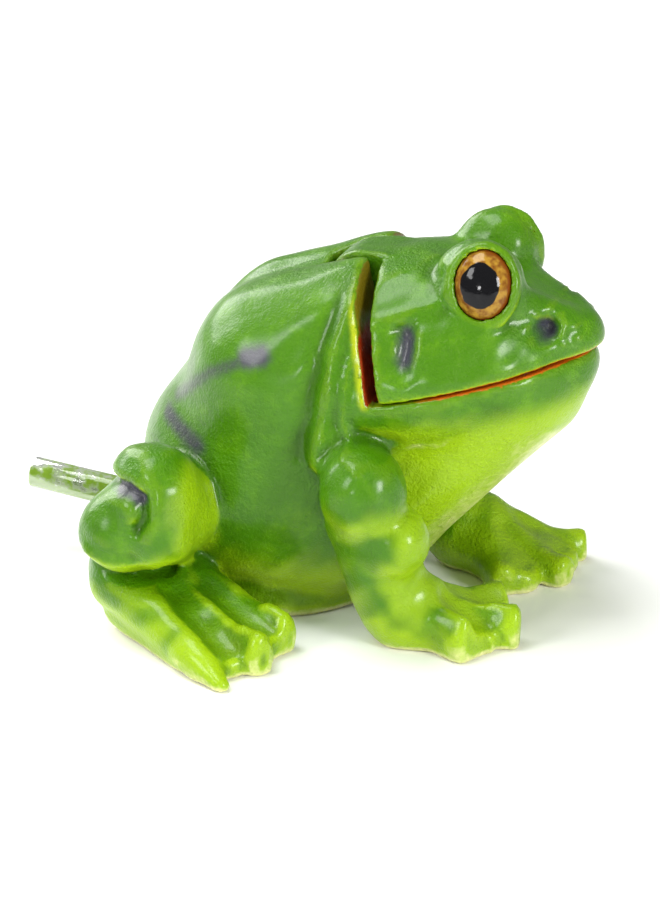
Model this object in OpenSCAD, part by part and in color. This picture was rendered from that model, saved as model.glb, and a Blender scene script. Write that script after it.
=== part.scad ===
// Air-operated aquarium frog ornament.
// A hollow painted resin frog.  Its head rocks open on a hidden hinge pin when
// air from the inlet tube gathers under it.  The frog faces +X, its left side
// is +Y, and it stands on z = 0.  Millimetres.

/* [Body] */
// Half width of the trunk at its widest
trunk_r = 25; // [24:0.5:26]
// Thickness of the trunk wall
trunk_wall = 5; // [4:0.25:5.5]
// Height of the shoulders
shoulder_h = 68; // [67:0.5:69]

/* [Head] */
// Rise of the mouth plane towards the snout, degrees
mouth_tilt = 12; // [11:0.5:13]
// Backward lean of the slot behind the head, degrees
slot_lean = 13; // [12:0.5:14]
// Width of the slot between the head and the shoulders
slot_gap = 2.2; // [1.8:0.1:2.4]
// Gap between the closed lips
lip_gap = 0.6; // [0.4:0.05:0.8]
// Thickness of the head wall
head_wall = 3.5; // [3:0.25:4]
// Height of the eye beads
eye_h = 12.6; // [11:0.2:13]

/* [Hinge] */
// Diameter of the steel hinge pin
pin_d = 2; // [1.8:0.1:2.2]
// Length of the hinge pin
pin_len = 24; // [22:1:26]
// Outer diameter of the sleeve glued into the head tab
sleeve_d = 4; // [3.6:0.1:4.4]
// How far the head opens, degrees
open_max = 32; // [25:1:34]

/* [Air line] */
// Outer diameter of the air tube
tube_od = 6; // [6:0.1:6.2]
// Bore of the air tube
tube_id = 4; // [3.8:0.1:4.2]
// Slope of the inlet, falling towards the frog, degrees
inlet_slope = 7; // [5:0.5:8]
// Bend radius at the middle of the tube
bend_r = 16; // [15:0.5:17]

/* [Hidden] */

big = 200;            // larger than the frog, for cutting blocks
plug_len = 3;         // length of the filler over the end of the pin
fit = 0.05;           // radial running clearance of the sleeve on the pin
tab_gap = 0.8;        // room beside the head tab in its recess

mouth = [20.8, 0, 46];       // hinge side of the mouth plane, on the centre
hinge = [10.5, 0, 63.5];     // axis of the hinge pin, along Y
recess_r = 7;                // radius of the recess that the tab turns in
tab_back = 4.6;              // rear end of the head tab
heel = [tab_back, 0, 62];    // top of the tab's heel face
heel_lean = 22.6;            // lean of the heel face from the vertical
stop_gap = 0.4;              // room left at the stop when fully open

tube_end = [-55.535, 0, 15.8];     // middle of the tube's outer end
bend_x = 4;                      // where the bend starts
outlet_rise = 90 - inlet_slope;  // steepness of the tube under the mouth
outlet_h = 44.6;                 // height of the tube's inner end

inlet_bead_at = 23.9;            // distance from the tube's outer end to the glue bead
inlet_bead_w = 1.8;              // thickness of that bead
bead_w = 1.4;                    // thickness of the glue ring under the mouth
bead_h = 2;                      // its height
bead_drop = 5.5;                 // how far it is below the tube's inner end

bend_start = [bend_x, 0, tube_end[2] - (bend_x - tube_end[0]) * tan(inlet_slope)];
bend_mid = bend_start + bend_r * [sin(inlet_slope), 0, cos(inlet_slope)];
bend_end = bend_mid + bend_r * [sin(outlet_rise), 0, -cos(outlet_rise)];
inlet_len = (bend_x - tube_end[0]) / cos(inlet_slope);
outlet_len = (outlet_h - bend_end[2]) / sin(outlet_rise);
outlet_end = bend_end + outlet_len * [cos(outlet_rise), 0, sin(outlet_rise)];

resin = [0.36, 0.66, 0.13];
resin_head = [0.42, 0.70, 0.16];

// ---------- small helpers ----------

// An ellipsoid with semi-axes r
module blob(at, r, fn = 30) translate(at) scale(r) sphere(1, $fn = fn);

// A rounded, tapering limb between two points
module limb(a, ra, b, rb, fn = 16) {
    reach = b - a;
    translate(a) rotate([0, 0, atan2(reach[1], reach[0])])
        rotate([0, acos(reach[2] / norm(reach)), 0]) {
            sphere(ra, $fn = fn);
            cylinder(h = norm(reach), r1 = ra, r2 = rb, $fn = fn);
            translate([0, 0, norm(reach)]) sphere(rb, $fn = fn);
        }
}

module both_sides() {
    children();
    mirror([0, 1, 0]) children();
}

// Children drawn with the mouth plane as their floor and the snout ahead
module on_mouth() translate(mouth) rotate([0, -mouth_tilt, 0]) children();

// Everything above the mouth plane, raised by d
module above_mouth(d) on_mouth() translate([-big, -big, d]) cube(2 * big);

// Everything in front of the head's rear face, moved forward by d
module before_slot(d) translate(mouth) rotate([0, -slot_lean, 0])
    translate([d, -big, -big]) cube(2 * big);

// A cylinder along Y about the hinge axis
module on_hinge(d, len) translate(hinge) rotate([90, 0, 0])
    cylinder(h = len, d = d, center = true, $fn = 48);

// ---------- body ----------

module trunk() hull() {
    blob([-7.5, 0, 23], [24, trunk_r, 23], 36);
    blob([1.5, 0, 38.5], [24.5, trunk_r, 24.5], 36);
    both_sides() blob([10, 6, shoulder_h - 12], [12, 12, 12], 24);
    blob([14, 0, 44], [12, trunk_r, 14], 30);
    translate([-9.5, 0, 0]) scale([21, 19, 1]) cylinder(h = 1, r = 1, $fn = 36);
}

module throat() difference() {
    hull() {
        on_mouth() blob([0, 0, 0], [34.3, 24.5, 14], 40);
        blob([25, 0, 28], [10, 16, 9], 24);
        blob([12, 0, 13], [12, 16, 12], 24);
    }
    above_mouth(0.5);
}

module arm() {
    limb([14, -20, 43], 6, [19.5, -28, 31], 8, 18);
    limb([19.5, -28, 31], 7.5, [26, -26, 21.5], 5.5, 16);
    hull() {
        translate([26, -26, 21.5]) sphere(5.5, $fn = 16);
        translate([25, -22, 8]) sphere(6.5, $fn = 16);
        translate([31, -18, 8]) sphere(4.5, $fn = 16);
    }
    for (toe = [[38, -25.5, 3.4], [43.5, -16.5, 3.6], [39, -7.5, 3.4]])
        limb([27, -20, 6], 6, [toe[0], toe[1], toe[2] * 0.8], toe[2], 14);
}

module leg() {
    blob([-19.5, -31.5, 24], [12.5, 9.5, 12], 30);
    limb([-19, -24, 24], 10, [-27, -28, 12], 6, 16);
    for (toe = [[0, -50, 2.4], [4, -42, 3.4], [4.5, -32, 3.4]])
        limb([-25, -31, 7], 6, [toe[0], toe[1], toe[2] * 0.8], toe[2], 14);
}

// A block whose plan tapers to the rear, from half width w0 to w1 to w2
module tongue(w0, w1, w2, back) translate([0, 0, 40]) linear_extrude(40)
    polygon([[24, w0], [15, w0], [8, w1], [back, w2],
             [back, -w2], [8, -w1], [15, -w0], [24, -w0]]);

// The hollow that the head tab turns in, open above and towards the head, with
// a ledge that the heel of the tab meets when the head is fully open
module tab_recess() difference() {
    intersection() {
        tongue(6 + tab_gap, 5.2 + tab_gap, 3, tab_back - tab_gap);
        union() {
            on_hinge(2 * recess_r, 40);
            translate(hinge + [-recess_r, -20, 0]) cube([30, 40, 30]);
            translate(hinge + [0, -20, -recess_r]) cube([30, 40, 30]);
        }
    }
    translate(hinge) rotate([0, -open_max, 0]) translate(heel - hinge)
        rotate([0, -heel_lean, 0]) translate([-20 - stop_gap, -20, -20]) cube([20, 40, 40]);
}

module trunk_hollow() {
    hull() {
        blob([-7.5, 0, 19], [24 - trunk_wall, trunk_r - trunk_wall, 19], 30);
        blob([-1, 0, 33], [20 - trunk_wall, trunk_r - trunk_wall - 3, 16], 30);
        translate([-9.5, 0, -1]) scale([21 - trunk_wall, 19 - trunk_wall, 1])
            cylinder(h = 1, r = 1, $fn = 30);
    }
    limb([9, 0, 12], 7, [15.8, 0, 14.8], 6.8, 18);
    limb([15.8, 0, 14.8], 6.8, [19.5, 0, 22], 6.5, 18);
    limb([19.5, 0, 22], 6.5, [25, 0, 34], 6.5, 18);
}

// The room for the head above the lower jaw, with the sunken floor of the mouth
module mouth_space() intersection() {
    before_slot(-slot_gap);
    union() {
        above_mouth(0);
        intersection() {
            above_mouth(-3);
            on_mouth() blob([0, 0, 1], [32, 20.5, 16], 30);
        }
    }
}

module body_casting() color(resin) difference() {
    resize([0, 0, 0]) difference() {
        union() {
            trunk();
            throat();
            both_sides() {
                arm();
                leg();
            }
        }
        translate([-big, -big, -2 * big]) cube(2 * big);
        trunk_hollow();
        mouth_space();
        tab_recess();
    }
    translate([0, 5, 0]) on_hinge(pin_d, pin_len + 10);
    tube_holes();
}

// ---------- head ----------

module head_form() {
    on_mouth() hull() {
        blob([0, 0, 0], [29, 24.5, 24], 40);
        blob([28, 0, 2], [8.2, 9.5, 6.5], 24);
    }
    both_sides() blob([34, 9, 66], [8, 7, 8], 24);
}

module tab() intersection() {
    tongue(6, 4, 1.6, tab_back);
    translate([0, 15, 0]) rotate([90, 0, 0]) linear_extrude(30)
        polygon([[20, 69.5], [14, 69.2], [10, 68], [7, 66.2], [5.2, 64.2],
                 [heel[0], heel[2]], [5.6, 59.6], [9, 58], [24, 57.5]]);
}

module head_hollow() intersection() {
    on_mouth() hull() {
        blob([0, 0, 0], [29 - head_wall, 24 - head_wall, 23 - head_wall], 32);
        blob([26, 0, 0], [7, 7, 4], 20);
    }
    before_slot(head_wall);
}

module head_casting() color(resin_head) difference() {
    resize([0, 0, 0]) difference() {
        union() {
            difference() {
                intersection() {
                    head_form();
                    above_mouth(lip_gap);
                    before_slot(0);
                }
                head_hollow();
            }
            tab();
        }
        mirror([0, 1, 0]) eye_shape(0, 0);
        eye_shape(0, eye_back);
    }
    on_hinge(sleeve_d, 30);
}

// ---------- eyes ----------

eye_at = [36.4, 12.8, 66.7];     // middle of an eye bead
eye_back = 2;                    // how far the left eye sits behind the right one
eye_turn = 8;                    // how far the eyes face forward, degrees
eye_tilt = 14;                   // and upward

module eye_shape(grow, back) translate(eye_at - [back, 0, 0]) rotate([0, 0, -eye_turn])
    rotate([eye_tilt, 0, 0]) scale([0.82, 0.5, 1]) sphere(eye_h / 2 + grow, $fn = 28);

module eye_left() color([0.08, 0.07, 0.05]) resize([0, 0, 0]) eye_shape(-0.02, eye_back);
module eye_right() color([0.08, 0.07, 0.05]) resize([0, 0, 0])
    mirror([0, 1, 0]) eye_shape(-0.02, 0);

// ---------- hinge ----------

module hinge_pin() color("silver") on_hinge(pin_d, pin_len);

module hinge_sleeve() color("ivory") difference() {
    on_hinge(sleeve_d, 9);
    on_hinge(pin_d + 2 * fit, 10);
}

module pin_plug() color(resin) translate([0, (pin_len + plug_len) / 2, 0])
    on_hinge(pin_d, plug_len);

// ---------- air line ----------

// The straight inlet, the quarter bend and the straight outlet of the air line,
// drawn about the middle of the bend
module air_line(d_out, d_in) translate(bend_mid) rotate([90, 0, 0])
    rotate([0, 0, -90 - inlet_slope]) {
        translate([bend_r, 0, 0]) rotate([90, 0, 0]) ring(d_out, d_in, inlet_len);
        rotate_extrude(angle = 90, $fn = 48) translate([bend_r, 0]) difference() {
            circle(d = d_out, $fn = 48);
            circle(d = d_in, $fn = 48);
        }
        translate([0, bend_r, 0]) rotate([0, -90, 0]) ring(d_out, d_in, outlet_len);
    }

module ring(d_out, d_in, len) difference() {
    cylinder(h = len, d = d_out, $fn = 48);
    translate([0, 0, -1]) cylinder(h = len + 2, d = d_in, $fn = 48);
}

module air_tube() color([0.85, 0.9, 0.8, 0.6]) air_line(tube_od, tube_id);

// Children drawn along the air tube's axis, a distance in from its outer end
module along_inlet(d) translate(tube_end) rotate([0, 90 + inlet_slope, 0])
    translate([0, 0, d]) children();

// Children drawn along the air tube's axis, a distance below its inner end
module below_outlet(d) translate(outlet_end) rotate([0, 90 - outlet_rise, 0])
    translate([0, 0, -d]) children();

// A glue bead around the tube, half sunk in the rump
module inlet_bead() color([0.2, 0.4, 0.1]) along_inlet(inlet_bead_at) rotate_extrude($fn = 48)
    polygon([[tube_od / 2, -2], [tube_od / 2 + 0.9, -1.4], [tube_od / 2 + inlet_bead_w, 0],
             [tube_od / 2 + inlet_bead_w, 1.5], [tube_od / 2, 1.5]]);

// A glue ring around the tube, let into the underside of the mouth floor
module outlet_bead() color([0.85, 0.8, 0.6]) below_outlet(bead_drop + bead_h)
    ring(tube_od + 2 * bead_w, tube_od, bead_h);

// The holes for the air tube and its two beads
module tube_holes() {
    along_inlet(inlet_bead_at - 8) cylinder(h = 20, d = tube_od, $fn = 48);
    along_inlet(inlet_bead_at - 8) cylinder(h = 9.5, d = tube_od + 2 * inlet_bead_w, $fn = 48);
    below_outlet(16) cylinder(h = 20, d = tube_od, $fn = 48);
    below_outlet(16) cylinder(h = 16 - bead_drop, d = tube_od + 2 * bead_w, $fn = 48);
}

body_casting();
head_casting();
eye_right();
eye_left();
hinge_pin();
hinge_sleeve();
pin_plug();
air_tube();
inlet_bead();
outlet_bead();
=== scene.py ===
import math

import bpy
import numpy as np
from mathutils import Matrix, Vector


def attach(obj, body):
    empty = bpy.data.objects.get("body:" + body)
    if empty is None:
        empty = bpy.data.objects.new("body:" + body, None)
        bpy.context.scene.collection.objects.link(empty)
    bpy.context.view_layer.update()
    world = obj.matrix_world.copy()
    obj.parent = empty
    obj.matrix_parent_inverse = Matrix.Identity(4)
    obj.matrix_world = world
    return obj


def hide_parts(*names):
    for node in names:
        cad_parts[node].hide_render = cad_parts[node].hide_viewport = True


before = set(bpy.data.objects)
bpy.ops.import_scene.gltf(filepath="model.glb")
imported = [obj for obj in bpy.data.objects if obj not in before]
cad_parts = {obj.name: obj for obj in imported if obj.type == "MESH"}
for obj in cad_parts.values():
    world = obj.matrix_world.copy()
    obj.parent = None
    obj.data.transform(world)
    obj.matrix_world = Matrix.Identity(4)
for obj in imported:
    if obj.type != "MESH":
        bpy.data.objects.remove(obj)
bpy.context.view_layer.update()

# The frog is shaped in millimetres, in the frame of the CAD model, as blocks of
# distance values ("clay") that simple solids are blended into and carved out of.
# The skin of each block becomes one mesh, in metres.

MM = 0.001
RIGHT, LEFT = -1, 1

# ---------- sizes shared with the CAD model ----------

MOUTH = np.array([20.8, 0, 46])      # hinge side of the mouth plane
MOUTH_TILT = math.radians(12)        # rise of the mouth plane to the snout
SLOT_LEAN = math.radians(13)         # backward lean of the slot
SLOT_GAP = 2.2                       # width of the slot behind the head
HINGE = np.array([10.5, 0, 63.5])    # axis of the head's hinge, along Y
OPEN_MAX = math.radians(32)          # how far the head opens
RECESS_R = 7.0                       # recess that the head's tab turns in
TAB_GAP = 0.8                        # room beside the tab
HEEL = np.array([4.6, 0, 62])        # top of the tab's heel face
HEEL_LEAN = math.radians(22.6)       # lean of the heel face
STOP_GAP = 0.4                       # room left at the stop

TUBE_R, BORE_R = 3.0, 2.0            # air tube
TUBE_END = np.array([-55.535, 0, 15.8])
TUBE_SLOPE = math.radians(7)         # fall of the tube towards the frog
BEND_X = 4.0                         # where the tube's bend starts
BEND_R = 16.0                        # radius of the bend
OUTLET_Z = 44.6                      # height of the tube's inner end

EYE_TURN = math.radians(8)           # the eyes face a little forward
EYE_TILT = math.radians(14)          # and a little up
EYE_R = np.array([5.17, 3.15, 6.3])  # half sizes of an eye bead

# ---------- sizes of the meshes alone ----------

# The left eye is 2 mm behind the right one, as in the CAD model, and 0.2 mm lower and
# further in than there.
EYE_AT = {RIGHT: np.array([36.4, 12.8, 66.7]), LEFT: np.array([34.4, 12.6, 66.5])}
SOCKET_GAP = 0.2                     # room round an eye bead
PUPIL_BACK = 0.06                    # how far back it sits, as a share of the half size
PUPIL_PROUD = 0.06                   # how far it stands out, as a share of the bead's depth
PUPIL_EDGE = 0.66                    # where it ends, as a share of the half size

LIP_GAP = 0.4                        # gap between the closed lips, 0.2 mm less than in CAD
TAB_FRONT = 24                       # where the tab and its room end, inside the head
INLET_GLUE_AT = 21.8                 # from the tube's outer end to the collar at the rump
OUTLET_GLUE_AT = 7.2                 # from the tube's inner end back to the ring in the mouth
GLUE_GAP = 0.02                      # room between the glue and the tube

EMPTY = 40.0                         # distance that a block of clay holds before it is shaped
MARGIN = 3                           # how far past a shape and its blend the clay is worked
BODY_CELL, HEAD_CELL = 0.75, 0.55    # sizes of the clay's cells


# ---------- shapes: each is (lowest corner, highest corner, distance function) ----------

def length(*parts):
    return np.sqrt(sum(q * q for q in parts))


def turned(x, y, z, at, axes):
    """Places relative to a point, along three axes given as rows."""
    x, y, z = x - at[0], y - at[1], z - at[2]
    return [x * a[0] + y * a[1] + z * a[2] for a in axes]


def axes_about_y(angle):
    """Axes tipped up about Y, so that the first rises by the angle."""
    c, s = math.cos(angle), math.sin(angle)
    return np.array([[c, 0, s], [0, 1, 0], [-s, 0, c]])


def blob(at, r, axes=np.eye(3)):
    """An ellipsoid with semi-axes r along the given axes."""
    at, r = np.array(at, float), np.array(r, float)
    reach = np.abs(np.array(axes).T * r).sum(1)

    def distance(x, y, z):
        a, b, c = turned(x, y, z, at, axes)
        near = length(a / r[0], b / r[1], c / r[2])
        steep = length(a / r[0] ** 2, b / r[1] ** 2, c / r[2] ** 2)
        return near * (near - 1) / np.maximum(steep, 1e-6)

    return at - reach, at + reach, distance


def limb(a, ra, b, rb, wide=(1, 1, 1)):
    """Two balls and the cone that joins them, stretched by wide about its first point."""
    a, b, wide = (np.array(q, float) for q in (a, b, wide))
    far = (b - a) / wide
    long2 = far @ far
    drop = ra - rb
    slant2 = long2 - drop * drop
    low = np.minimum(a - ra * wide, b - rb * wide)
    high = np.maximum(a + ra * wide, b + rb * wide)

    def distance(x, y, z):
        x, y, z = (x - a[0]) / wide[0], (y - a[1]) / wide[1], (z - a[2]) / wide[2]
        along = x * far[0] + y * far[1] + z * far[2]
        beyond = along - long2
        off = (x * long2 - far[0] * along) ** 2 + (y * long2 - far[1] * along) ** 2
        off = off + (z * long2 - far[2] * along) ** 2
        side = math.copysign(drop * drop, drop) * off
        d = (np.sqrt(off * slant2 / long2) + along * drop) / long2 - ra
        start = np.sqrt(off + along * along * long2) / long2 - ra
        end = np.sqrt(off + beyond * beyond * long2) / long2 - rb
        d = np.where(np.sign(along) * slant2 * along ** 2 * long2 < side, start, d)
        d = np.where(np.sign(beyond) * slant2 * beyond ** 2 * long2 > side, end, d)
        return d * wide.min()

    return low, high, distance


EVERYWHERE = (np.full(3, -500.0), np.full(3, 500.0))


def half_space(at, normal):
    """Everything on the far side of a plane from its normal."""
    def distance(x, y, z):
        return (x - at[0]) * normal[0] + (y - at[1]) * normal[1] + (z - at[2]) * normal[2]

    return (*EVERYWHERE, distance)


def overlap(*shapes):
    """What lies inside every one of the shapes."""
    low = np.max([s[0] for s in shapes], axis=0)
    high = np.min([s[1] for s in shapes], axis=0)

    def distance(x, y, z):
        d = shapes[0][2](x, y, z)
        for s in shapes[1:]:
            d = np.maximum(d, s[2](x, y, z))
        return d

    return low, high, distance


def mirrored(shape):
    """The same shape on the other side of the frog."""
    low, high = shape[0] * [1, -1, 1], shape[1] * [1, -1, 1]
    return np.minimum(low, high), np.maximum(low, high), lambda x, y, z: shape[2](x, -y, z)


def at_side(side, shape):
    """A shape written for the frog's left, put on the side asked for."""
    return shape if side == LEFT else mirrored(shape)


# ---------- clay ----------

def soft_least(a, b, k):
    """The lesser of two distances, rounded where they are within k of each other."""
    h = np.clip(0.5 + 0.5 * (b - a) / k, 0, 1)
    return b * (1 - h) + a * h - k * h * (1 - h)


def line_distance(u, v, points):
    """Distance in a plane from a bent line through the points."""
    best = None
    for (a, b), (c, d) in zip(points, points[1:]):
        t = np.clip(((u - a) * (c - a) + (v - b) * (d - b)) / ((c - a) ** 2 + (d - b) ** 2), 0, 1)
        gap = length(u - a - t * (c - a), v - b - t * (d - b))
        best = gap if best is None else np.minimum(best, gap)
    return best


class Clay:
    """A grid of points that each hold a distance to the skin, below 0 inside it."""

    def __init__(self, low, high, cell):
        self.cell = cell
        self.low = np.array(low, float)
        self.axes = [np.arange(a, b + cell, cell) for a, b in zip(low, high)]
        self.field = np.full([len(a) for a in self.axes], EMPTY)

    def near(self, low, high, margin):
        """The part of the block round a box, and the places of its points."""
        part = []
        for axis, a, b in zip(self.axes, low, high):
            first, last = np.searchsorted(axis, (a - margin, b + margin))
            part.append(slice(max(first - 1, 0), last + 1))
        places = np.ix_(*[axis[s] for axis, s in zip(self.axes, part)])
        return tuple(part), places

    def add(self, shape, blend=1.0):
        """Join a shape on, with a fillet of about the blend."""
        part, places = self.near(shape[0], shape[1], blend + MARGIN)
        self.field[part] = soft_least(self.field[part], shape[2](*places), blend)

    def carve(self, shape, blend=0.6):
        """Take a shape out, with its edge rounded by about the blend."""
        part, places = self.near(shape[0], shape[1], blend + MARGIN)
        self.field[part] = -soft_least(-self.field[part], shape[2](*places), blend)

    def crease(self, points, wide, high, side, out=0):
        """A ridge, or with a negative height a groove, drawn on one flank as seen from the side.
        It follows whatever surface lies under the line, further from the middle than out."""
        x, y, z = np.ix_(*self.axes)
        cover = np.clip((y * side - out) / 5, 0, 1)
        self.field -= high * np.exp(-(line_distance(x, z, points) / wide) ** 2) * cover

    def waves(self, high, pitch):
        """Slow unevenness, as hand work leaves."""
        x, y, z = np.ix_(*self.axes)
        turn = 2 * math.pi / pitch
        for i in range(4):
            a, b, c = (math.sin(2.4 * i + j) for j in (0.3, 1.9, 3.1))
            size = math.sqrt(a * a + b * b + c * c)
            phase = turn * (1 + 0.23 * i) * (a * x + b * y + c * z) / size
            self.field += high * np.sin(phase + 1.7 * i)

    def roundness(self, points):
        """How far the skin bulges, above 0, or sinks, below 0, at each point."""
        f = self.field
        soft = f
        for _ in range(2):
            for k in range(3):
                soft = (np.roll(soft, 1, k) + soft + np.roll(soft, -1, k)) / 3
        return self.sample(soft - f, points)

    def sample(self, field, points):
        """Values of a field at points, read between its grid points."""
        q = (points - self.low) / self.cell
        q = np.clip(q, 0, np.array(field.shape) - 1.001)
        i = q.astype(int)
        t = q - i
        total = 0
        for corner in np.ndindex(2, 2, 2):
            share = np.prod(np.where(corner, t, 1 - t), axis=1)
            total = total + share * field[tuple((i + corner).T)]
        return total

    def skin(self):
        """Points and four-sided faces of the surface where the field is 0."""
        f = self.field
        inside = f < 0
        shape = np.array(f.shape) - 1
        corners = list(np.ndindex(2, 2, 2))
        count = sum(
            inside[a:a + shape[0], b:b + shape[1], c:c + shape[2]].astype(np.int8)
            for a, b, c in corners)
        cells = np.argwhere((count > 0) & (count < 8))
        number = np.full(shape, -1)
        number[tuple(cells.T)] = np.arange(len(cells))
        value = [f[tuple((cells + c).T)] for c in corners]
        total, crossings = np.zeros((len(cells), 3)), np.zeros(len(cells))
        for i, a in enumerate(corners):
            for j, b in enumerate(corners):
                if j <= i or sum(abs(p - q) for p, q in zip(a, b)) != 1:
                    continue
                cross = (value[i] < 0) != (value[j] < 0)
                t = np.where(cross, value[i] / np.where(cross, value[i] - value[j], 1), 0)
                place = np.array(a) + t[:, None] * (np.array(b) - np.array(a))
                total += place * cross[:, None]
                crossings += cross
        points = self.low + (cells + total / crossings[:, None]) * self.cell
        slope = np.gradient(f, self.cell)
        for _ in range(2):
            g = np.stack([self.sample(s, points) for s in slope], 1)
            step = self.sample(f, points)[:, None] * g / np.maximum((g * g).sum(1), 0.2)[:, None]
            points = points - np.clip(step, -0.3 * self.cell, 0.3 * self.cell)
        faces = []
        for k in range(3):
            u, v = (k + 1) % 3, (k + 2) % 3
            start = [slice(1, -1)] * 3
            start[k] = slice(0, -1)
            end = list(start)
            end[k] = slice(1, None)
            a, b = inside[tuple(start)], inside[tuple(end)]
            for leaving in (True, False):
                at = np.argwhere(a & ~b if leaving else b & ~a)
                at = at + [0 if i == k else 1 for i in range(3)]
                ring = []
                for du, dv in ((1, 1), (0, 1), (0, 0), (1, 0)):
                    c = at.copy()
                    c[:, u] -= du
                    c[:, v] -= dv
                    ring.append(number[tuple(c.T)])
                ring = np.stack(ring, 1)
                faces.append(ring if leaving else ring[:, ::-1])
        return points, np.concatenate(faces), slope


# ---------- planes and rooms that the moving head needs ----------

MOUTH_AXES = axes_about_y(MOUTH_TILT)
SLOT_AXES = axes_about_y(SLOT_LEAN)


def on_mouth(x, z):
    """A point given along the mouth plane and above it."""
    return MOUTH + x * MOUTH_AXES[0] + z * MOUTH_AXES[2]


def above_mouth(up):
    """Everything above the mouth plane, raised by up."""
    return half_space(on_mouth(0, up), -MOUTH_AXES[2])


def below_mouth(up):
    """Everything below the mouth plane, raised by up."""
    return half_space(on_mouth(0, up), MOUTH_AXES[2])


def before_slot(ahead):
    """Everything in front of the head's rear face, moved forward by ahead."""
    return half_space(MOUTH + ahead * SLOT_AXES[0], -SLOT_AXES[0])


def tongue(halves, back, room):
    """The wedge that the head's tab fills: half widths at its rear, middle and front."""
    places = (back, 8, 15)
    lean = 0.93  # the sides aren't square to Y, so they are nearer than they measure along it

    def distance(x, y, z):
        side = (np.abs(y) - np.interp(x, places, halves) - room) * lean
        return np.maximum(side, np.maximum(back - x, x - TAB_FRONT) + 0 * y)

    return np.array([back - 1, -12, 40]), np.array([TAB_FRONT + 1.0, 12, 90]), distance


def tab_room():
    """The recess that the tab turns in, with the ledge that its heel meets."""
    wedge = tongue((2.2, 5.2, 6), HEEL[0] - TAB_GAP, TAB_GAP)

    def distance(x, y, z):
        bowl = length(np.maximum(HINGE[0] - x, 0), np.maximum(HINGE[2] - z, 0)) - RECESS_R
        arm = axes_about_y(OPEN_MAX).T @ (HEEL - HINGE) + HINGE
        face = axes_about_y(OPEN_MAX + HEEL_LEAN)[0]
        ledge = (x - arm[0]) * face[0] + (z - arm[2]) * face[2]
        return np.maximum(wedge[2](x, y, z), np.maximum(bowl, -ledge - STOP_GAP))

    return wedge[0], wedge[1], distance


def tab_shape():
    """The head's tab: a wedge cut to a rounded outline seen from the side."""
    outline = [(TAB_FRONT, 66.5), (16, 68.4), (10, 67.9), (7, 66.3), (5.2, 64.2), (4.6, 62),
               (5.6, 59.6), (9, 58), (TAB_FRONT, 57.5)]
    wedge = tongue((1.6, 4, 6), HEEL[0], 0)

    def distance(x, y, z):
        d = wedge[2](x, y, z)
        for (a, b), (c, e) in zip(outline, outline[1:]):
            size = math.hypot(c - a, e - b)
            d = -soft_least(-d, -((x - a) * (e - b) - (z - b) * (c - a)) / size, 0.5)
        return d

    return wedge[0], wedge[1], distance


def tube_path(steps=16):
    """Middle line of the air tube: straight in, a quarter bend, straight up."""
    fall, rise = -TUBE_SLOPE, math.pi / 2 - TUBE_SLOPE
    start = TUBE_END + (BEND_X - TUBE_END[0]) * np.array([1, 0, math.tan(fall)])
    middle = start + BEND_R * np.array([math.sin(TUBE_SLOPE), 0, math.cos(TUBE_SLOPE)])
    path = [TUBE_END, start]
    for i in range(1, steps + 1):
        a = fall + (rise - fall) * i / steps
        path.append(middle + BEND_R * np.array([math.sin(a), 0, -math.cos(a)]))
    up = np.array([math.cos(rise), 0, math.sin(rise)])
    path.append(path[-1] + up * (OUTLET_Z - path[-1][2]) / up[2])
    return path


# ---------- body ----------

def shape_trunk(clay):
    """The trunk, the back's two humps, chest, belly, the rim it stands on and the back's furrow."""
    clay.add(limb([-7.5, 0, 23.5], 24, [2.5, 0, 37.5], 23.6))
    for side in (RIGHT, LEFT):
        clay.add(at_side(side, limb([-2.6, 7, 45.6], 16.4, [14, 7.5, 55.8], 12.1)), 5)
    clay.add(blob([15, 0, 44], [15, 24.2, 19]), 5)
    clay.add(blob([1.5, 0, 22], [23, 23, 22]), 5)
    clay.add(blob([-8.5, 0, 2], [21.5, 19.5, 10]), 3)
    clay.carve(limb([6, 0, 71], 4.4, [-20, 0, 57.5], 1.5), 4)


def shape_jaw(clay):
    """The lower jaw, its chin and the throat."""
    clay.add(blob(MOUTH, [30, 24.3, 15], MOUTH_AXES), 2)
    clay.add(limb(on_mouth(17, 0), 13, on_mouth(27.7, -2), 6, (1, 1.35, 1)), 2)
    clay.add(limb([42, 0, 44], 9.5, [14, 0, 20], 13, (1, 1.4, 1)), 5)


def shape_arm(clay, side):
    """An arm from the shoulder to the wrist. The left one is set a little further back."""
    back = 0 if side == RIGHT else 1.5
    clay.add(at_side(side, limb([10 - back, 19, 40], 4.6, [17 - back, 25, 33], 6)), 2.5)
    clay.add(at_side(side, blob([19 - back, 27.4, 31], [7.8, 8, 8.6])), 1.2)
    clay.add(at_side(side, blob([24.4 - back, 26, 21.8], [6.4, 6.2, 6.6])), 1.6)
    clay.add(at_side(side, limb([18.5 - back, 24.5, 25], 7.2, [22.5 - back, 20.5, 9], 7.2)), 2)
    clay.add(at_side(side, limb([23, 20.5, 9], 6, [29, 20, 8], 4.6)), 2)


def toe(clay, side, knuckle, r, tip, end_r, high):
    """A toe ridge from a knuckle to a blunt tip, cut off square at its end."""
    knuckle, tip = np.array(knuckle, float), np.array(tip, float)
    way = (tip - knuckle) * [1, 1, 0]
    way /= np.linalg.norm(way)
    end = [*(tip[:2] - 1.5 * way[:2]), high - end_r]
    clay.add(at_side(side, limb(knuckle, r, end, end_r)), 1.5)
    stub = 0.85 * end_r
    sole = np.array([0, 0, 1])
    pad = limb(tip - 4 * way + sole, stub, tip + sole, stub, (1, 1, (high - 1) / stub))
    clay.add(at_side(side, pad), 1.5)
    block = blob(tip + 3 * way, [5, 5, 9])
    clay.carve(at_side(side, overlap(half_space(tip + 1.4 * way, -way), block)), 0.8)


def web(clay, side, a, ra, b, rb):
    """The low skin between two toes."""
    clay.add(at_side(side, limb(a, ra, b, rb)), 3)


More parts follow.
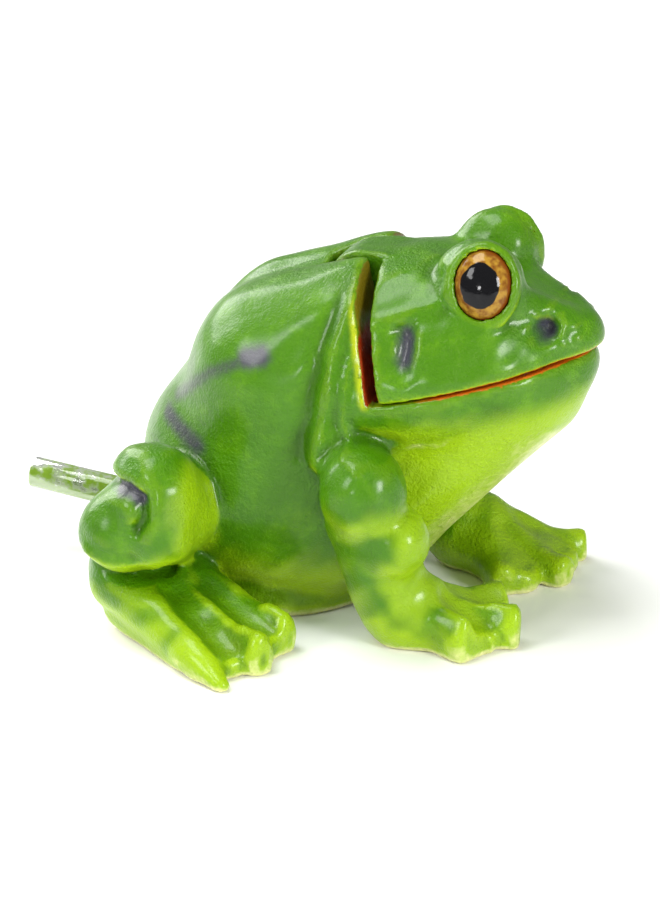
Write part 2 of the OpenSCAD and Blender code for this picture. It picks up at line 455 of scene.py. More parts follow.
def shape_fore_foot(clay, side):
    """Three toes with webs between them, and a scoop along the top of each web."""
    if side == RIGHT:
        knuckle, toes, high = [27, 20, 9.4], [[37.4, 25.4], [44, 16.8], [38.6, 7.4]], 6.4
    else:
        knuckle, toes, high = [28, 21, 10.4], [[45.4, 27], [45.6, 13.4], [36, 5.6]], 3.9
    for (x, y), (u, v) in zip(toes, toes[1:]):
        web(clay, side, [25, 19.5, 5.2], 6.4, [(x + u) / 2 - 2.5, (y + v) / 2, 2], 3.8)
    for x, y in toes:
        toe(clay, side, knuckle, 2.8, [x, y, 2.2], 2.9, high)
    for (x, y), (u, v) in zip(toes, toes[1:]):
        far = np.array([(x + u) / 2 - 0.5, (y + v) / 2, 7.2])
        near = 0.45 * np.array([*knuckle[:2], 14]) + 0.55 * np.array([*far[:2], 9.8])
        clay.carve(at_side(side, limb(near, 3, far, 2.6)), 1.6)


def shape_leg(clay, side):
    """The folded hind leg, which bulges above its foot."""
    clay.add(at_side(side, blob([-19.6, 29.5, 24.2], [9.4, 10, 11.6])), 2)
    clay.add(at_side(side, limb([-22.8, 29, 30.8], 4.4, [-18, 31, 30.4], 6)), 1.2)
    clay.add(at_side(side, limb([-17, 32, 28], 6.2, [-16.8, 34, 20], 5.6)), 1.5)
    clay.add(at_side(side, blob([-25.2, 32.4, 19.6], [7.6, 7.6, 8.4])), 1.5)
    clay.add(at_side(side, limb([-19, 24, 22], 9, [-27, 27.5, 11], 6)), 3)


def shape_hind_foot(clay, side):
    """One long outer toe and two blunt ones, with webs and scoops as on the fore foot."""
    web(clay, side, [-21, 29, 5.8], 6.8, [-1.5, 43, 1.8], 3.9)
    web(clay, side, [-17, 24, 5.8], 6.8, [2.4, 36.2, 1.8], 4)
    clay.add(at_side(side, limb([-26, 30.6, 9.6], 5.8, [-5, 46, 3], 3)), 1)
    clay.add(at_side(side, limb([-7, 44.6, 3.4], 3.1, [0.2, 50.6, 1], 1.7)), 2.5)
    clay.add(at_side(side, limb([-25.6, 29.6, 3.5], 3.8, [-9, 42.5, 1.5], 3.2)), 1.5)
    toe(clay, side, [-17, 27, 9.8], 3, [4.4, 42, 2.2], 2.9, 6)
    toe(clay, side, [-15, 22.5, 9.2], 3, [5.6, 31.8, 2.2], 2.9, 6)
    clay.carve(at_side(side, limb([-13.5, 35.2, 13], 3.6, [-0.5, 44.8, 6.8], 2.7)), 1.6)
    clay.carve(at_side(side, limb([-9.5, 29.4, 12.6], 3.3, [3.4, 36.9, 7.2], 2.6)), 1.6)


def crease_side(clay, side):
    """Folds that the modeller drew on one flank, the thigh and the foot."""
    def ridge(points, wide, high, out=0):
        clay.crease(points, wide, high, side, out)

    # two folds and a groove down the flank behind the slot, and a groove over the shoulder
    ridge([(13.4, 62), (12, 54.4), (11, 44), (9.4, 35)], 1.8, 1.3)
    ridge([(11.4, 62), (8.8, 54), (7.6, 44), (6, 35)], 1.6, -0.7)
    ridge([(15.6, 58), (14.6, 50), (14.4, 43), (16.5, 38.5), (20, 37)], 0.8, 0.7)
    ridge([(11, 37), (14, 39.6), (18, 40.6), (23, 39)], 0.9, -0.7)
    # the haunch's front edge, and the curl that winds into it
    haunch, foot = 25, 23
    ridge([(-26, 36), (-20, 35.6), (-15.6, 31), (-15.2, 25.5), (-17, 22.6)], 1.4, 0.5, haunch)
    ridge([(-33, 28.6), (-27, 29.6), (-22, 30.2), (-18.6, 29), (-18.2, 25.5), (-19.4, 23.5)],
          1.2, -2.1, haunch)
    # folds where the haunch rests on the foot
    ridge([(-31, 16), (-29, 14.8), (-24, 12.6), (-17, 12.6)], 1.2, -1.5, foot)
    ridge([(-30, 18.4), (-25, 16.2), (-20.6, 16.2), (-17.6, 17)], 0.7, 0.5, foot)
    ridge([(-30, 20.6), (-25, 18.4), (-20.6, 18.4)], 0.9, -0.25, foot)


def mouth_room(deep):
    """The room in front of the slot: above the jaw, and sunk into it as a floor."""
    open_part = overlap(above_mouth(0), before_slot(-SLOT_GAP))
    floor_blob = blob(on_mouth(0, 1), [28.5, 20.5, 16], MOUTH_AXES)
    sunk = overlap(above_mouth(-deep), before_slot(-SLOT_GAP), floor_blob)
    return open_part, sunk


def build_body():
    """The body casting: limbs and trunk, the head's room, the hollow and the tube's hole."""
    clay = Clay([-38, -56, -1.5], [58, 56, 73], BODY_CELL)
    shape_trunk(clay)
    shape_jaw(clay)
    for side in (RIGHT, LEFT):
        shape_leg(clay, side)
        shape_hind_foot(clay, side)
        shape_arm(clay, side)
        shape_fore_foot(clay, side)
        crease_side(clay, side)
    clay.waves(0.05, 9)
    for room in mouth_room(3):
        clay.carve(room, 0.5)
    clay.carve(tab_room(), 0.5)
    hollow = [blob([-7.5, 0, 19], [19.5, 20, 19]), blob([-1, 0, 33], [15, 17, 16]),
              blob([-9.5, 0, 2], [16, 14, 9])]
    tunnel = [([9, 0, 12], 7), ([15.8, 0, 14.8], 6.8), ([19.5, 0, 22], 6.5), ([25, 0, 34], 6.5)]
    for (a, ra), (b, rb) in zip(tunnel, tunnel[1:]):
        hollow.append(limb(a, ra, b, rb))
    for shape in hollow:
        clay.carve(shape, 2)
    path = tube_path()
    for a, b in zip(path, path[1:]):
        clay.carve(limb(a, TUBE_R - 0.1, b, TUBE_R - 0.1), 0.3)
    clay.carve(half_space([0, 0, 0], [0, 0, 1]), 0.5)
    return clay


# ---------- head ----------

def eye_axes():
    """The left eye's own directions: forward, outward and up."""
    c, s = math.cos(EYE_TURN), math.sin(EYE_TURN)
    forward = np.array([c, -s, 0])
    outward = np.array([s * math.cos(EYE_TILT), c * math.cos(EYE_TILT), math.sin(EYE_TILT)])
    return np.array([forward, outward, np.cross(forward, outward)])


def eye_places(x, y, z, side):
    """Places in an eye's own frame: forward, outward and up from its middle."""
    return turned(x, y * side, z, EYE_AT[side], eye_axes())


def eye_lid(side):
    """The raised rim round an eye."""
    def distance(x, y, z):
        u, n, v = eye_places(x, y, z, side)
        ring = length(u / 0.82, v) - 6.8
        return length(ring * 0.9, n - 0.3) - 1.1 + 0.04 * v

    at = EYE_AT[side] * [1, side, 1]
    return at - 10, at + 10, distance


def eye_socket(side):
    """The hole that an eye bead sits in."""
    at = EYE_AT[side] * [1, side, 1]
    axes = eye_axes() * [1, side, 1]
    return blob(at, EYE_R + SOCKET_GAP, axes)


def shape_cheek(clay, side):
    """Relief on one cheek, drawn as seen from the side."""
    def ridge(points, wide, high):
        clay.crease(points, wide, high, side)

    # folds behind the eye
    ridge([(17.5, 60), (22.8, 61.4), (28, 63.6), (30.5, 66)], 1.8, 0.55)
    ridge([(22.5, 58.9), (26, 60.6), (29.5, 61.6)], 1.3, -0.35)
    ridge([(18, 66), (24, 68), (29, 70)], 1.2, 0.35)
    # the ear's hollow, between two low ridges
    ridge([(23.9, 57.4), (24.1, 56), (23.9, 54.4)], 2.5, -2.2)
    ridge([(22.7, 57), (22.6, 56), (22.7, 55)], 0.9, 0.8)
    ridge([(26.6, 58.4), (27, 56), (26.2, 53.6)], 1.1, 0.4)
    # the nostril, with a ridge and warts round it
    ridge([(46.6, 58.6), (47, 57.8)], 1.5, -1.9)
    ridge([(48.9, 60.4), (50, 59), (49.5, 57.4)], 0.7, 0.55)
    for x, z in ((45, 61), (47, 62), (51.5, 58.5), (52, 56.5), (50, 55.6), (44, 59)):
        ridge([(x, z), (x + 0.3, z)], 0.6, 0.35)
    # the swell above the lip
    ridge([(30, 50.6), (38, 52), (46, 53.5)], 1.4, 0.25)


def build_head():
    """The head casting: crown, snout, eye bumps, brows and lids, hollow, with the hinge's tab."""
    clay = Clay([2, -27, 42], [59, 27, 77], HEAD_CELL)
    clay.add(blob(MOUTH, [29, 24.3, 22.7], MOUTH_AXES), 2)
    clay.add(limb(on_mouth(16, 1.6), 13.4, on_mouth(29.8, 2.6), 5.8, (1, 1.3, 1)), 3)
    for side, back, deep in ((RIGHT, 0, 0), (LEFT, 2.2, 0.1)):
        clay.add(at_side(side, blob([35 - back, 9.4, 66], [8 - back / 3, 5.4 + deep, 7.9])), 2)
        drop = 0.8 * back
        brow = limb([40 - drop, 8, 62.4 - drop], 3.6, [48.4 - drop / 3, 4, 58.8 - drop / 3], 2.2)
        clay.add(at_side(side, brow), 3)
        clay.add(eye_lid(side), 1.2)
    for side in (RIGHT, LEFT):
        shape_cheek(clay, side)
    clay.waves(0.04, 7)
    clay.carve(below_mouth(LIP_GAP), 0.5)
    clay.carve(half_space(MOUTH, SLOT_AXES[0]), 0.4)
    inner = blob(MOUTH, [25.5, 20.5, 19.5], MOUTH_AXES)
    clay.carve(overlap(inner, before_slot(3.5)), 1)
    clay.carve(blob(on_mouth(26, 0), [7, 7, 4], MOUTH_AXES), 1)
    clay.add(tab_shape(), 0.6)
    for side in (RIGHT, LEFT):
        clay.carve(eye_socket(side), 0.3)
    return clay


# ---------- paint masks ----------

def near_line(points, a, b, wide):
    """1 on the line between two points, fading to 0 at about twice the width."""
    a, b = np.array(a, float), np.array(b, float)
    t = np.clip((points - a) @ (b - a) / ((b - a) @ (b - a)), 0, 1)
    gap = np.linalg.norm(points - a - t[:, None] * (b - a), axis=1)
    return np.exp(-(gap / wide) ** 2)


def smooth_step(low, high, value):
    """0 at low and 1 at high, smooth between them. It falls where low is the larger."""
    t = np.clip((value - low) / (high - low), 0, 1)
    return t * t * (3 - 2 * t)


def stroke(points, line, wide, low=2, high=60):
    """A brush stroke drawn on the flanks as seen from the side, between two distances out."""
    x, y, z = points.T
    out = np.abs(y)
    cover = smooth_step(low, low + 2, out) * smooth_step(high + 1, high, out)
    return np.exp(-(line_distance(x, z, line) / wide) ** 2) * cover


def paint_body_dark(points):
    """Violet-grey strokes: two on each flank, one on the left hump, one in the thigh's fold."""
    dark = 0.62 * stroke(points, [(-21.5, 39.4), (-12.1, 47.6), (-4.5, 51.6)], 1.7, 6, 27)
    dark = np.maximum(dark, 0.95 * stroke(points, [(-4.6, 51.7), (-1.8, 52.4)], 2.3, 6, 27))
    lower = [(-22.6, 36.4), (-18, 35), (-14.4, 33.6)]
    dark = np.maximum(dark, 0.78 * stroke(points, lower, 2.2, 6, 25))
    left = points[:, 1] > 0
    dark = np.maximum(dark, 0.95 * left * stroke(points, [(-8.1, 58.7), (-1.7, 60.4)], 1.5, 2, 12))
    return np.maximum(dark, stroke(points, [(-23.4, 29.8), (-21, 30), (-19.2, 28.8)], 1.5, 32))


def paint_head_dark(points):
    """Violet-grey in the ear and the nostril."""
    dark = 0.9 * stroke(points, [(24.5, 57.8), (24.7, 54.2)], 2.1, 10)
    return np.maximum(dark, 0.85 * stroke(points, [(46.4, 58.8), (47.2, 57.6)], 1.9))


def paint_lime(points, normal, edge, throat):
    """Yellow-green: undersides, feet, throat, inner arms, haunches and raised edges. On the haunches'
    forward-facing sides it is painted highlight; on raised edges it is partly thin paint and partly
    painted highlight.
    """
    x, y, z = points.T
    near_ground = 1 - smooth_step(2, 15, z)
    down = smooth_step(0.0, -0.8, normal[:, 2])
    # lime along raised edges: partly thin paint, partly painted highlight
    lime = np.clip(0.8 * down + 0.5 * near_ground + (0.3 + 0.3 * near_ground) * edge, 0, 1)
    lime = np.maximum(lime, throat * smooth_step(0.6, -0.3, normal[:, 2]))
    inner_arm = smooth_step(34, 26, z) * smooth_step(10, 18, x) * smooth_step(-0.2, 0.5, normal[:, 0])
    lime = np.maximum(lime, 0.7 * inner_arm)
    # painted highlight: lighter lime on the haunch's forward-facing side
    haunch = (np.abs(y) > 24) * smooth_step(-22, -16, x) * smooth_step(38, 32, z) * (x < -4)
    lime = np.maximum(lime, 0.75 * haunch * smooth_step(0.25, 1.0, normal[:, 0]))
    left_foot = (y > 4) * (x > 24) * smooth_step(14, 9, z)
    return np.maximum(lime, 0.6 * left_foot)


def paint_cream(points, normal, edge, throat):
    """Cream: toe ends, the edge that the frog stands on, and under the throat."""
    z = points[:, 2]
    facing_out = smooth_step(0.35, 0, normal[:, 2])
    cream = 0.5 * facing_out * (1 - smooth_step(3, 7, z)) * edge
    cream = np.maximum(cream, 0.75 * (1 - smooth_step(0.5, 2.2, z)) * facing_out)
    return np.maximum(cream, 0.65 * throat * smooth_step(-0.3, -0.8, normal[:, 2]))


def paint_lip(mouth, up, ahead, is_head):
    """Orange on the facing edges of the lips, weaker towards the corners of the mouth."""
    if is_head:
        lip = np.exp(-((mouth[:, 2] - LIP_GAP) / 0.35) ** 2) * smooth_step(-0.2, -0.7, up)
    else:
        lip = smooth_step(-0.45, -0.1, mouth[:, 2]) * (mouth[:, 2] < 0.6) * (up > 0.15) * ahead
    return lip * (0.4 + 0.6 * smooth_step(4, 14, mouth[:, 0]))


def paint_slot_walls(normal, mouth, slot):
    """How far each point is on a wall of the slot, and how low it is there."""
    in_slot = smooth_step(2.0, 1.5, np.abs(slot[:, 0] + SLOT_GAP / 2)) * (mouth[:, 2] > -0.5)
    wall = in_slot * smooth_step(0.6, 0.95, np.abs(normal @ SLOT_AXES[0]))
    return wall, smooth_step(19, 7, mouth[:, 2])


def paint_rim(mouth, slot, wall):
    """Yellow along the body's edge of the slot, weaker towards the crown."""
    rim = np.exp(-((slot[:, 0] + SLOT_GAP + 0.4) / 1.1) ** 2) * smooth_step(-1.5, 1, mouth[:, 2])
    return 0.75 * (1 - 0.6 * smooth_step(13, 22, mouth[:, 2])) * rim * (1 - 0.8 * wall)


def paint_masks(points, normal, bulge, is_head):
    """Where each colour of the hand painting lies, with painted shade in hollows and painted
    highlight on raised edges and haunches, from 0 to 1 at each point.
    """
    x, y = points[:, 0], points[:, 1]
    mouth = (points - MOUTH) @ MOUTH_AXES.T
    slot = (points - MOUTH) @ SLOT_AXES.T
    up = normal @ MOUTH_AXES[2]
    behind = slot[:, 0] < -SLOT_GAP / 2
    ahead = slot[:, 0] > -SLOT_GAP - 0.6
    edge = smooth_step(0.03, 0.2, bulge)
    throat = smooth_step(-1, -12, mouth[:, 2]) * smooth_step(14, 26, x)
    throat = throat * smooth_step(22, 18, np.abs(y))
    wall, low_wall = paint_slot_walls(normal, mouth, slot)
    core = smooth_step(1.05, 0.95, (mouth[:, 0] / 28) ** 2 + (mouth[:, 1] / 20.5) ** 2)
    floor = (np.abs(mouth[:, 2] + 1.5) < 2.1) * ahead * core * (up > 0.2)
    recess = near_line(points, (5, 0, 64), (14, 0, 66), 6.5) * (np.abs(normal[:, 1]) > 0.5)
    recess = 0.6 * recess * behind * (np.abs(y) > 1.5)
    dark = paint_head_dark(points) if is_head else paint_body_dark(points)
    return {
        "lime": paint_lime(points, normal, edge, throat),
        "cream": paint_cream(points, normal, edge, throat),
        "dark": np.clip(dark, 0, 1),
        "red": np.maximum(wall * low_wall, floor * (not is_head)),
        "lip": paint_lip(mouth, up, ahead, is_head),
        "rim": paint_rim(mouth, slot, wall) * behind * (not is_head),
        "olive": np.maximum(recess, wall * (1 - low_wall) * 0.9),
        # painted shade: deep green in hollows and creases, where the skin sinks
        "sunk": smooth_step(-0.03, -0.25, bulge),
    }


# ---------- meshes ----------

def add_mesh(name, points, faces, smooth=True):
    """A mesh object from points in millimetres."""
    mesh = bpy.data.meshes.new(name)
    mesh.from_pydata((np.asarray(points) * MM).tolist(), [], [list(map(int, f)) for f in faces])
    mesh.update()
    if smooth:
        mesh.shade_smooth()
    piece = bpy.data.objects.new(name, mesh)
    bpy.context.scene.collection.objects.link(piece)
    return piece


def add_masks(piece, masks):
    """Values from 0 to 1 at each point, which the materials read by name."""
    for name, values in masks.items():
        layer = piece.data.attributes.new(name, "FLOAT", "POINT")
        layer.data.foreach_set("value", np.asarray(values, np.float32))


def clay_mesh(name, clay, is_head=False):
    """The skin of a block of clay as a painted piece."""
    points, faces, slope = clay.skin()
    normal = np.stack([clay.sample(s, points) for s in slope], 1)
    normal /= np.maximum(np.linalg.norm(normal, axis=1), 1e-6)[:, None]
    piece = add_mesh(name, points, faces)
    bulge = clay.roundness(points) / clay.cell
    add_masks(piece, paint_masks(points, normal, bulge, is_head))
    return piece


def swept_ring(name, path, outline, turns=40):
    """A closed outline of (radius, distance along) pairs carried round a straight or bent path."""
    path = [np.array(p, float) for p in path]
    ends = np.cumsum([0] + [np.linalg.norm(b - a) for a, b in zip(path, path[1:])])
    points = []
    for r, s in outline:
        k = min(int(np.searchsorted(ends, s, side="right")) - 1, len(path) - 2)
        k = max(k, 0)
        way = (path[k + 1] - path[k]) / np.linalg.norm(path[k + 1] - path[k])
        centre = path[k] + way * (s - ends[k])
        up = np.cross(way, [0, 1, 0])
        for i in range(turns):
            a = 2 * math.pi * i / turns
            points.append(centre + r * (math.cos(a) * up + math.sin(a) * np.array([0, 1, 0])))
    faces = []
    n = len(outline)
    for j in range(n):
        for i in range(turns):
            a, b = j * turns + i, j * turns + (i + 1) % turns
            c, d = ((j + 1) % n) * turns + (i + 1) % turns, ((j + 1) % n) * turns + i
            faces.append((a, b, c, d))
    return add_mesh(name, points, faces)


def tube_outline(total, bend_from, bend_to):
    """The tube's wall cut along its length: outside with a bevel at each end, then the bore."""
    bevel = 0.25
    outer = [0.0, bevel, 12, 24, 36, 48, bend_from]
    outer += list(np.linspace(bend_from, bend_to, 18)[1:]) + [total - 5, total - bevel, total]
    outline = [(TUBE_R - (bevel if s in (0.0, total) else 0), s) for s in outer]
    inner = [s for s in outer if s not in (bevel, total - bevel)]
    outline += [(BORE_R, s) for s in reversed(inner)]
    return outline


def build_tube():
    """The air tube, with a mask for the green paint smeared on it near the rump."""
    path = tube_path(24)
    steps = [np.linalg.norm(b - a) for a, b in zip(path, path[1:])]
    total = sum(steps)
    tube = swept_ring("air_tube_clear", path, tube_outline(total, steps[0], total - steps[-1]))
    points = np.array([v.co for v in tube.data.vertices]) / MM
    from_frog = smooth_step(-47, -37, points[:, 0])
    middle = TUBE_END[2] - (points[:, 0] - TUBE_END[0]) * math.tan(TUBE_SLOPE)
    under = smooth_step(0.4, -2.4, points[:, 2] - middle)
    tip = smooth_step(-53.5, -55.6, points[:, 0])
    add_masks(tube, {"stain": np.clip(0.35 + 0.8 * from_frog + 0.5 * under + 0.3 * tip, 0, 1)})
    return tube


def build_glue(name, at, way, length_mm, outer):
    """A lumpy collar of set glue round the tube."""
    inner = TUBE_R + GLUE_GAP
    steps = 8
    outline = [(inner, 0), (inner + 0.8 * (outer - inner), 0.1)]
    for k in range(1, steps):
        t = k / steps
        bulge = math.sin(math.pi * (0.3 + 0.55 * t))
        outline.append((inner + (outer - inner) * bulge, t * length_mm))
    outline.append((inner, length_mm))
    glue = swept_ring(name, [at, at + way * length_mm], outline)
    for v in glue.data.vertices:
        p = np.array(v.co) / MM - at
        off = p - way * (p @ way)
        r = np.linalg.norm(off)
        if r > inner + 0.1:
            a = math.atan2(off[1], off @ np.cross(way, [0, 1, 0]))
            lump = 1 - 0.05 * (1 + math.sin(3 * a + 1)) - 0.03 * (1 + math.sin(7 * a + 2 * (p @ way)))
            v.co = Vector((at + p - off + off * max(lump, inner / r)) * MM)
    return glue


def build_eye(name, side):
    """A domed bead: dark edge, gold ring and a pupil that stands a little proud."""
    rings, turns = 26, 48
    points, faces, pupil = [], [], []
    for j in range(rings + 1):
        a = math.pi * j / rings
        for i in range(turns):
            b = 2 * math.pi * i / turns
            u, v, n = math.sin(a) * math.cos(b), math.sin(a) * math.sin(b), math.cos(a)
            off = math.hypot(u + PUPIL_BACK, v)
            lift = PUPIL_PROUD * smooth_step(PUPIL_EDGE + 0.12, PUPIL_EDGE, off) if n > 0 else 0
            place = np.array([u, n + lift, v]) * EYE_R @ eye_axes()
            points.append((EYE_AT[side] + place) * [1, side, 1])
            pupil.append(off if n > 0 else 1.0)
    for j in range(rings):
        for i in range(turns):
            a, b = j * turns + i, j * turns + (i + 1) % turns
            quad = (a, b, b + turns, a + turns)
            faces.append(quad if side == LEFT else quad[::-1])
    eye = add_mesh(name, points, faces)
    add_masks(eye, {"out_from_middle": pupil})
    return eye


# ---------- materials ----------

def from_srgb(r, g, b):
    """A colour given as 0 to 255 on a screen, as the shader needs it."""
    def one(v):
        v /= 255
        return v / 12.92 if v <= 0.04045 else ((v + 0.055) / 1.055) ** 2.4

    return (one(r), one(g), one(b), 1)


class Mix:
    """A material with a few helpers to layer colours by masks."""

    def __init__(self, name, **sockets):
        self.material = bpy.data.materials.new(name)
        self.material.use_nodes = True
        self.nodes = self.material.node_tree.nodes
        self.links = self.material.node_tree.links
        self.shader = self.nodes["Principled BSDF"]
        for key, value in sockets.items():
            self.shader.inputs[key.replace("_", " ")].default_value = value
        self.place = self.nodes.new("ShaderNodeTexCoord").outputs["Object"]

    def mask(self, name):
        """A mask of the mesh, by its name."""
        node = self.nodes.new("ShaderNodeAttribute")
        node.attribute_name = name
        return node.outputs["Fac"]

    def noise(self, size_mm, detail=3, rough=0.6):
        """Soft noise with blotches of about this size."""
        node = self.nodes.new("ShaderNodeTexNoise")
        node.inputs["Scale"].default_value = 1 / (size_mm * MM)
        node.inputs["Detail"].default_value = detail
        node.inputs["Roughness"].default_value = rough
        self.links.new(self.place, node.inputs["Vector"])
        return node.outputs["Fac"]

    def math(self, how, a, b):
        node = self.nodes.new("ShaderNodeMath")
        node.operation = how
        for socket, value in zip(node.inputs, (a, b)):
            if isinstance(value, (int, float)):
                socket.default_value = value
            else:
                self.links.new(value, socket)
        return node.outputs[0]

    def ramp(self, value, low, high):
        """0 below low, 1 above high, smooth between."""
        node = self.nodes.new("ShaderNodeMapRange")
        node.interpolation_type = "SMOOTHSTEP"
        node.inputs["From Min"].default_value = low
        node.inputs["From Max"].default_value = high
        self.links.new(value, node.inputs["Value"])
        return node.outputs["Result"]

    def broken(self, name, size_mm, spread=0.5):
        """A mask whose edge is broken up by noise, as brushed paint is."""
        offset = self.math("MULTIPLY", self.math("SUBTRACT", self.noise(size_mm), 0.5), spread)
        return self.math("ADD", self.mask(name), offset)

    def blend_value(self, a, b, share):
        """A number that goes from a to b with the share."""
        return self.math("ADD", a, self.math("MULTIPLY", share, b - a))

    def layer(self, under, over, share):
        """One colour laid over another by a share from 0 to 1."""
        node = self.nodes.new("ShaderNodeMix")
        node.data_type = "RGBA"
        for socket, value in ((node.inputs[6], under), (node.inputs[7], over)):
            if isinstance(value, tuple):
                socket.default_value = value
            else:
                self.links.new(value, socket)
        self.links.new(share, node.inputs[0])
        return node.outputs[2]

    def bump(self, heights, distance_mm):
        """Small relief on the surface, as high as the distance."""
        node = self.nodes.new("ShaderNodeBump")
        node.inputs["Distance"].default_value = distance_mm * MM
        node.inputs["Strength"].default_value = 1.0
        self.links.new(heights, node.inputs["Height"])
        self.links.new(node.outputs["Normal"], self.shader.inputs["Normal"])

    def finish(self, colour):
        self.links.new(colour, self.shader.inputs["Base Color"])
        return self.material


GREEN = from_srgb(62, 114, 0)
DEEP_GREEN = from_srgb(40, 84, 0)
BRIGHT_GREEN = from_srgb(92, 144, 2)
LIME = from_srgb(146, 180, 14)
CREAM = from_srgb(224, 222, 160)
VIOLET = from_srgb(62, 60, 76)
ORANGE = from_srgb(190, 96, 18)
ORANGE_RED = from_srgb(148, 50, 14)
DARK_RED = from_srgb(104, 30, 8)
YELLOW = from_srgb(176, 186, 24)
OLIVE = from_srgb(110, 96, 16)


def painted_resin(name):
    """Green paint over pale resin, with lime and cream where it is thin, under gloss varnish. Deep
    green in hollows and creases is painted shade; lime on raised edges is partly painted highlight,
    and on the haunches' forward-facing sides it is painted highlight.
    """
    m = Mix(name, Roughness=0.34, Specular_IOR_Level=0.22, Coat_Weight=0.4,
            Coat_Roughness=0.2, Subsurface_Weight=0.08, Subsurface_Scale=0.002)
    m.shader.inputs["Subsurface Radius"].default_value = (1.0, 1.0, 0.3)
    m.shader.inputs["Specular Tint"].default_value = (0.85, 1.0, 0.5, 1)
    m.shader.inputs["Coat Tint"].default_value = (0.97, 1.0, 0.85, 1)
    colour = m.layer(GREEN, DEEP_GREEN, m.ramp(m.noise(12, 4), 0.5, 0.9))
    colour = m.layer(colour, BRIGHT_GREEN, m.ramp(m.noise(7, 5, 0.7), 0.45, 0.85))
    # painted shade: deep green laid into hollows and creases by the sunk mask
    colour = m.layer(colour, DEEP_GREEN, m.math("MULTIPLY", m.mask("sunk"), 0.6))
    colour = m.layer(colour, LIME, m.ramp(m.broken("lime", 3, 0.16), 0.12, 1.0))
    colour = m.layer(colour, CREAM, m.ramp(m.broken("cream", 1.6, 0.5), 0.3, 0.8))
    colour = m.layer(colour, VIOLET, m.ramp(m.broken("dark", 1.0, 0.35), 0.15, 0.9))
    colour = m.layer(colour, YELLOW, m.ramp(m.broken("rim", 2, 0.3), 0.15, 0.9))
    colour = m.layer(colour, OLIVE, m.ramp(m.broken("olive", 2, 0.4), 0.3, 0.8))
    red = m.layer(ORANGE_RED, DARK_RED, m.ramp(m.noise(5), 0.3, 0.7))
    colour = m.layer(colour, red, m.ramp(m.broken("red", 1.5, 0.4), 0.35, 0.7))
    colour = m.layer(colour, ORANGE, m.ramp(m.broken("lip", 0.8, 0.12), 0.3, 0.8))
    grain = m.math("ADD", m.noise(0.5, 2), m.math("MULTIPLY", m.noise(1.6, 2), 1.2))
    m.bump(grain, 0.28)
    return m.finish(colour)


def eye_paint():
    """A black pupil in a blotched gold ring with a brown edge, under gloss."""
    m = Mix("eye paint", Roughness=0.08, Specular_IOR_Level=0.25)
    waver = m.math("MULTIPLY", m.math("SUBTRACT", m.noise(2.4, 1), 0.5), 0.12)
    off = m.math("ADD", m.mask("out_from_middle"), waver)
    blotches = m.ramp(m.noise(1.6, 2), 0.35, 0.65)
    gold = m.layer(from_srgb(160, 122, 40), from_srgb(112, 66, 20), blotches)
    colour = m.layer(from_srgb(14, 14, 16), gold, m.ramp(off, PUPIL_EDGE - 0.02, PUPIL_EDGE + 0.01))
    colour = m.layer(colour, from_srgb(116, 58, 14), m.ramp(off, 0.9, 0.97))
    m.bump(m.noise(1.5, 2), 0.05)
    return m.finish(colour)


def clear_plastic():
    """Clear soft plastic with green paint smeared on it."""
    m = Mix("clear tube", Roughness=0.08, IOR=1.45)
    stain = m.ramp(m.broken("stain", 2.2, 0.9), 0.42, 0.7)
    colour = m.layer(from_srgb(228, 238, 214), from_srgb(112, 146, 34), stain)
    m.links.new(m.blend_value(0.94, 0.25, stain), m.shader.inputs["Transmission Weight"])
    m.bump(m.noise(1.8, 2), 0.06)
    return m.finish(colour)


def worn_metal():
    """Stainless wire, a little rubbed."""
    m = Mix("steel wire", Metallic=1.0, Roughness=0.32)
    m.bump(m.noise(0.3, 2), 0.02)
    return m.finish(m.layer(from_srgb(196, 196, 192), from_srgb(150, 148, 142), m.noise(1.2)))


def nylon():
    """Cream nylon tube."""
    m = Mix("nylon sleeve", Roughness=0.5)
    m.bump(m.noise(0.5, 2), 0.02)
    return m.finish(m.layer(from_srgb(232, 228, 212), from_srgb(214, 206, 184), m.noise(1.5)))


def set_glue(name, light, dark):
    """Uneven set glue in two tones."""
    m = Mix(name, Roughness=0.25, Coat_Weight=0.5, Coat_Roughness=0.1)
    m.bump(m.noise(1.1, 3), 0.15)
    return m.finish(m.layer(light, dark, m.ramp(m.noise(1.4), 0.4, 0.6)))


def floor_paper():
    """Plain white paper."""
    m = Mix("white paper", Roughness=0.6)
    return m.finish(m.layer((0.93, 0.93, 0.925, 1), (0.9, 0.9, 0.895, 1), m.noise(200, 2)))


def give(piece, material):
    piece.data.materials.clear()
    piece.data.materials.append(material)


# ---------- pieces ----------

skin = painted_resin("painted resin")

body = clay_mesh("body_skin", build_body())
give(body, skin)
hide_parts("body_casting")
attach(body, "body")

head = clay_mesh("head_skin", build_head(), is_head=True)
give(head, skin)
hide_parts("head_casting")
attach(head, "head")

iris = eye_paint()
for side, name in ((RIGHT, "right"), (LEFT, "left")):
    eye = build_eye("eye_bead_" + name, side)
    give(eye, iris)
    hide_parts("eye_" + name)
    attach(eye, "head")

tube = build_tube()
give(tube, clear_plastic())
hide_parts("air_tube")
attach(tube, "body")

green_glue = set_glue("painted glue", from_srgb(60, 120, 16), from_srgb(24, 56, 12))
pale_glue = set_glue("bare glue", from_srgb(226, 216, 170), from_srgb(200, 184, 130))
for node, material in (("hinge_pin", worn_metal()), ("hinge_sleeve", nylon()),
                       ("pin_plug", green_glue)):
    give(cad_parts[node], material)

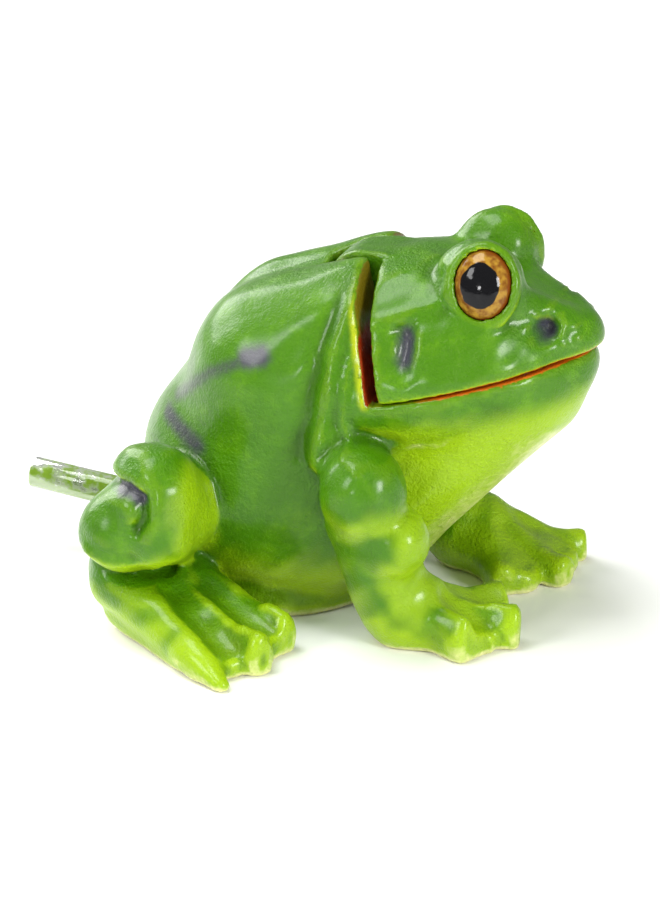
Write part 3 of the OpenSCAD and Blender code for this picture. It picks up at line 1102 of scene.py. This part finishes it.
inward = np.array([math.cos(TUBE_SLOPE), 0, -math.sin(TUBE_SLOPE)])
upward = np.array([math.sin(TUBE_SLOPE), 0, math.cos(TUBE_SLOPE)])
inlet_at = TUBE_END + INLET_GLUE_AT * inward
outlet_at = tube_path()[-1] - OUTLET_GLUE_AT * upward
for name, at, way, length_mm, outer, material in (
        ("inlet_glue", inlet_at, inward, 3.6, 4.7, green_glue),
        ("outlet_glue", outlet_at, upward, 2.4, 4.3, pale_glue)):
    glue = build_glue(name, at, way, length_mm, outer)
    give(glue, material)
    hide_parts(name.replace("glue", "bead"))
    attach(glue, "body")


# ---------- floor, lights and camera ----------

def add_floor():
    """A wide plain floor that isn't part of the frog."""
    size = 2500
    corners = [(-size, -size, 0), (size, -size, 0), (size, size, 0), (-size, size, 0)]
    floor = add_mesh("floor", corners, [(0, 1, 2, 3)], smooth=False)
    give(floor, floor_paper())


def add_light(name, at, aim, size, power):
    """A soft panel of light aimed at a point, in metres and watts."""
    light = bpy.data.lights.new(name, "AREA")
    light.shape = "RECTANGLE"
    light.size, light.size_y = size
    light.energy = power
    lamp = bpy.data.objects.new(name, light)
    lamp.location = at
    lamp.rotation_euler = (Vector(aim) - Vector(at)).to_track_quat("-Z", "Y").to_euler()
    bpy.context.scene.collection.objects.link(lamp)


def add_camera():
    """The photograph's view: from the frog's right and a little ahead and above."""
    azimuth = math.radians(18)
    elevation = math.radians(21)
    distance = 0.65
    target = Vector((0.004, 0, 0.0272))
    back = Vector((math.sin(azimuth) * math.cos(elevation),
                   -math.cos(azimuth) * math.cos(elevation), math.sin(elevation)))
    camera = bpy.data.objects.new("camera", bpy.data.cameras.new("camera"))
    camera.data.lens, camera.data.sensor_width = 140.4, 36
    camera.location = target + back * distance
    camera.rotation_euler = (-back).to_track_quat("-Z", "Y").to_euler()
    bpy.context.scene.collection.objects.link(camera)
    bpy.context.scene.camera = camera


def light_room():
    """White surroundings with five soft panels."""
    world = bpy.data.worlds.new("white room")
    world.use_nodes = True
    background = world.node_tree.nodes["Background"]
    background.inputs["Color"].default_value = (1, 1, 1, 1)
    background.inputs["Strength"].default_value = 0.3
    bpy.context.scene.world = world
    add_light("top softbox", (-0.2, -0.1, 0.75), (0, 0, 0.03), (0.4, 0.4), 4.4)
    add_light("back softbox", (-0.6, 0.3, 0.38), (0, 0, 0.05), (0.5, 0.4), 4.8)
    add_light("side softbox", (-0.45, -0.65, 0.5), (0, 0, 0.03), (0.3, 0.3), 3.6)
    add_light("front softbox", (0.75, -0.4, 0.3), (0.02, 0, 0.05), (0.22, 0.3), 6)
    add_light("low softbox", (-0.02, -0.9, 0.17), (0, 0, 0.05), (0.07, 0.12), 0.9)


add_floor()
light_room()
add_camera()
bpy.context.scene.view_settings.view_transform = "Standard"
